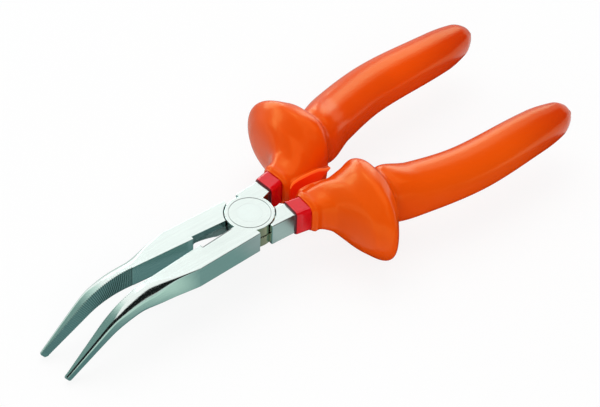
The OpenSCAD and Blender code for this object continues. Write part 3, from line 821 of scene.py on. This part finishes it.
# Painted highlight: a mask along the upper rim of the tab's face.
tab_rim_highlight = (tab_half * TAB_HIGH - (z - MID_Z)).ease(1.3, 0.8)
tab_face = inside.ease(TAB_FACE + 0.35, TAB_FACE + 0.2)
tone = drift.ease(0.3, 0.7).blend((0.80, 0.062, 0.0003, 1), (0.86, 0.068, 0.0004, 1))
tone = painted(tone,
               # Painted light: the near grip, on the +y side, is painted lighter and yellower towards its outside.
               (y.ease(0, 20) * 0.9, (0.84, 0.080, 0.0006)),
               (x.ease(-85, -124) * 0.8, (0.58, 0.022, 0.0002)),
               # Painted shade: the front of the tab's face is painted darker; its upper rim is a painted
               # highlight.
               (tab_face * tab_share.ease(0.8, 0.1), (0.62, 0.02, 0.0002)),
               (tab_face * tab_rim_highlight, (0.95, 0.14, 0.015)))
# Painted glow: the tab's face gets an emission, brightest at its upper rim.
painted_tab_glow = tab_rim_highlight.blend((0.22, 0.003, 0, 1), (0.26, 0.05, 0.01, 1))
feed(shader, Base_Color=tone, Emission_Color=tab_face.blend((0, 0, 0, 1), painted_tab_glow),
     Roughness=ripple * 0.08 + 0.19,
     Normal=place.make("ShaderNodeBump", {"Height": ripple, "Strength": 0.08, "Distance": 0.0004}))
for grip in (grip_upper, grip_lower):
    grip.data.materials.append(orange)

red, shader, place = new_finish("sleeve_red", Specular_IOR_Level=0.8, Specular_Tint=(1, 0.75, 0.85, 1))
ripple = place.noise((1.6, 1.6, 1.6), detail=3)
x, y = place.axes()[:2]
ahead = as_if_closed(x, y, -1)[0]
# Painted shade: the sleeve's front face is painted dark maroon.
sleeve_front_shade = ahead.ease(-SLEEVE_AT - 0.32, -SLEEVE_AT - 0.12)
tone = ripple.ease(0.3, 0.7).blend((0.66, 0.0015, 0.004, 1), (0.72, 0.002, 0.006, 1))
feed(shader, Base_Color=painted(tone, (sleeve_front_shade * 0.9, (0.08, 0.001, 0.004))),
     Roughness=ripple * 0.06 + 0.12,
     Normal=place.make("ShaderNodeBump", {"Height": ripple, "Strength": 0.08, "Distance": 0.0003}))
for sleeve in (sleeve_upper, sleeve_lower):
    sleeve.data.materials.append(red)
print("plastic finishes made")

# %% [markdown]
# ## Floor, world and light
# A product picture on white is lit from everywhere, with large soft lights overhead and in front. The floor is
# paper that glows for the camera, so that it comes out white, but still takes a faint shadow. The world is dimmer
# for the light that falls on the tool than it looks, which keeps some modelling on the handles.

# %% World and floor
AMBIENT, PAPER_GLOW = 0.62, 0.85
FLOOR_Z, FLOOR_REACH = cad_box[0][2], 3
world = bpy.data.worlds.new("white room")
bpy.context.scene.world = world
sky = new_tree(world)
open_view = light_path(sky, "Camera", "Glossy", "Transmission")
backdrop = world.node_tree.nodes["Background"]
world.node_tree.links.new((open_view * (1 - AMBIENT) + AMBIENT).socket, backdrop.inputs["Strength"])
backdrop.inputs["Color"].default_value = (1, 1, 1, 1)


def sheet(name, points):
    """Mesh of one open surface from a grid of points[i, j] in metres."""
    rows, columns = points.shape[:2]
    i, j = np.meshgrid(np.arange(rows - 1), np.arange(columns - 1), indexing="ij")
    corner = (i * columns + j).reshape(-1, 1)
    mesh = bpy.data.meshes.new(name)
    mesh.from_pydata(points.reshape(-1, 3).tolist(), [], (corner + [0, 1, columns + 1, columns]).tolist())
    piece = bpy.data.objects.new(name, mesh)
    bpy.context.scene.collection.objects.link(piece)
    return piece


def flat_grid(low, high, level):
    """Level rectangle between two corners."""
    x, y = np.meshgrid(np.linspace(low[0], high[0], 5), np.linspace(low[1], high[1], 5), indexing="ij")
    return np.stack([x, y, np.full_like(x, level)], axis=-1)


floor = sheet("floor", flat_grid((-FLOOR_REACH, -FLOOR_REACH), (FLOOR_REACH, FLOOR_REACH), FLOOR_Z))
paper, shader, start = new_finish("paper", Base_Color=(0.93, 0.93, 0.93, 1), Roughness=0.9)
matt = Value(paper.node_tree, shader.outputs[0])
glow = start.make("ShaderNodeEmission", {"Color": (1, 1, 1, 1), "Strength": 1})
seen = light_path(start, "Camera") * PAPER_GLOW + light_path(start, "Glossy", "Transmission")
surface = start.make("ShaderNodeMixShader", {0: seen.at_most(1), 1: matt, 2: glow})
paper.node_tree.links.new(surface.socket, paper.node_tree.nodes["Material Output"].inputs["Surface"])
floor.data.materials.append(paper)
print("floor at", round(FLOOR_Z * 1000, 2), "mm")

# %% Lamps
def soft_lamp(name, place, watts, size):
    """Square area lamp at a place, turned towards the joint; reflections don't show it."""
    lamp = bpy.data.lights.new(name, "AREA")
    lamp.shape, lamp.size, lamp.energy = "SQUARE", size, watts
    lamp_object = bpy.data.objects.new(name, lamp)
    lamp_object.location = place
    lamp_object.rotation_euler = Vector(place).to_track_quat("Z", "Y").to_euler()
    lamp_object.visible_glossy = False
    bpy.context.scene.collection.objects.link(lamp_object)
    print(name, "lamp,", watts, "W")


soft_lamp("overhead", (-0.20, -0.35, 0.85), watts=3.4, size=0.8)
soft_lamp("front", (0.5, 0.6, 0.6), watts=2.4, size=0.6)

# %% [markdown]
# ## What the surfaces reflect
# Polished steel shows its surroundings more than its own colour, so the surroundings are made too: dark walls on
# the camera's side, a shaded table under the jaws, and bright soft boxes behind the tool, which give steel and
# plastic their highlights. Only reflections can see these cards, so the light on the tool stays as it is.

# %% Cards and soft boxes
WALL_R, CARD_LIFT, BOX_Y = 0.6, 0.0004, -0.10


def card(name, points, colour, strength=1):
    """Card that only reflections see, in one colour or in shades, which are a function of its coordinates."""
    piece = sheet(name, points)
    piece.visible_camera = piece.visible_diffuse = piece.visible_shadow = False
    piece.visible_transmission = piece.visible_volume_scatter = False
    material = bpy.data.materials.new(name)
    start = new_tree(material)
    shown = colour(start) if callable(colour) else (*colour, 1)
    glow = start.make("ShaderNodeEmission", {"Color": shown, "Strength": strength})
    material.node_tree.links.new(glow.socket, material.node_tree.nodes["Material Output"].inputs["Surface"])
    piece.data.materials.append(material)


def wall_grid(first, last, low, high):
    """Part of an upright cylinder between two turns and two heights."""
    turn, height = np.meshgrid(np.radians(np.linspace(first, last, 25)), np.linspace(low, high, 5), indexing="ij")
    return np.stack([WALL_R * np.sin(turn), -WALL_R * np.cos(turn), height], axis=-1)


def table_shades(start):
    """Dark between the jaws, lighter beside them and further in front, and dark red beside the handles; the dark
    parts are painted shade under the tool, and the dark red is a painted reflection of the plastic.
    """
    x, y = start.axes()[:2]
    beside = y.ease(14, 20)
    return painted((0.10, 0.20, 0.20, 1),
                   (y.band(-3, 4, 5) * x.ease(52, 42), (0.01, 0.016, 0.016)),
                   (beside, (0.17, 0.29, 0.28)),
                   (beside * x.ease(2, -8), (0.26, 0.33, 0.33)),
                   (y.ease(19, 27) * x.ease(20, 34), (0.50, 0.70, 0.62)),
                   (y.ease(32, 75), (0.55, 0.70, 0.66)),
                   (beside * x.ease(-9, -14), (0.36, 0.45, 0.44)),
                   (y.ease(20, 16) * x.ease(-14, -18), (0.06, 0.004, 0.006)),
                   (x.ease(-19.5, -21.5), (0.06, 0.006, 0.003)))


def side_shades(start):
    """White behind the tool, then darker in two steps towards the side that the jaws point to."""
    x = start.axes()[0]
    return painted((1, 1, 1, 1),
                   (x.ease(180, 300), (0.60, 0.78, 0.72)),
                   (x.ease(310, 450), (0.16, 0.28, 0.26)))


card("front wall", wall_grid(100, 262, -0.03, 0.9), (0.008, 0.01, 0.01))
card("side wall", wall_grid(20, 110, 0.06, 1.1), side_shades)
card("table", flat_grid((-0.13, -0.03), (0.15, 0.55), FLOOR_Z + CARD_LIFT), table_shades)
card("table behind", flat_grid((-0.3, -0.4), (0.2, -0.03), FLOOR_Z + CARD_LIFT), (0.50, 0.60, 0.57))
card("roof", flat_grid((-0.45, -0.08), (-0.12, 0.3), 0.2), (0.01, 0.006, 0.005))

soft_boxes = (("low soft box", (-0.10, 0.03), (0.004, 0.078), 4),
              ("high soft box", (-0.03, 0.164), (0.004, 0.225), 4),
              ("side soft box", (0.012, 0.066), (0.056, 0.1), 4),
              ("handle soft box", (-0.26, 0.05), (-0.125, 0.13), 3.2))
for name, low, high, strength in soft_boxes:
    upright = flat_grid(low, high, BOX_Y)[..., [0, 2, 1]]
    card(name, upright, (0.85, 1.1, 1.1), strength)
print("cards and", len(soft_boxes), "soft boxes placed")

# %% View
bpy.context.scene.view_settings.view_transform = "Standard"
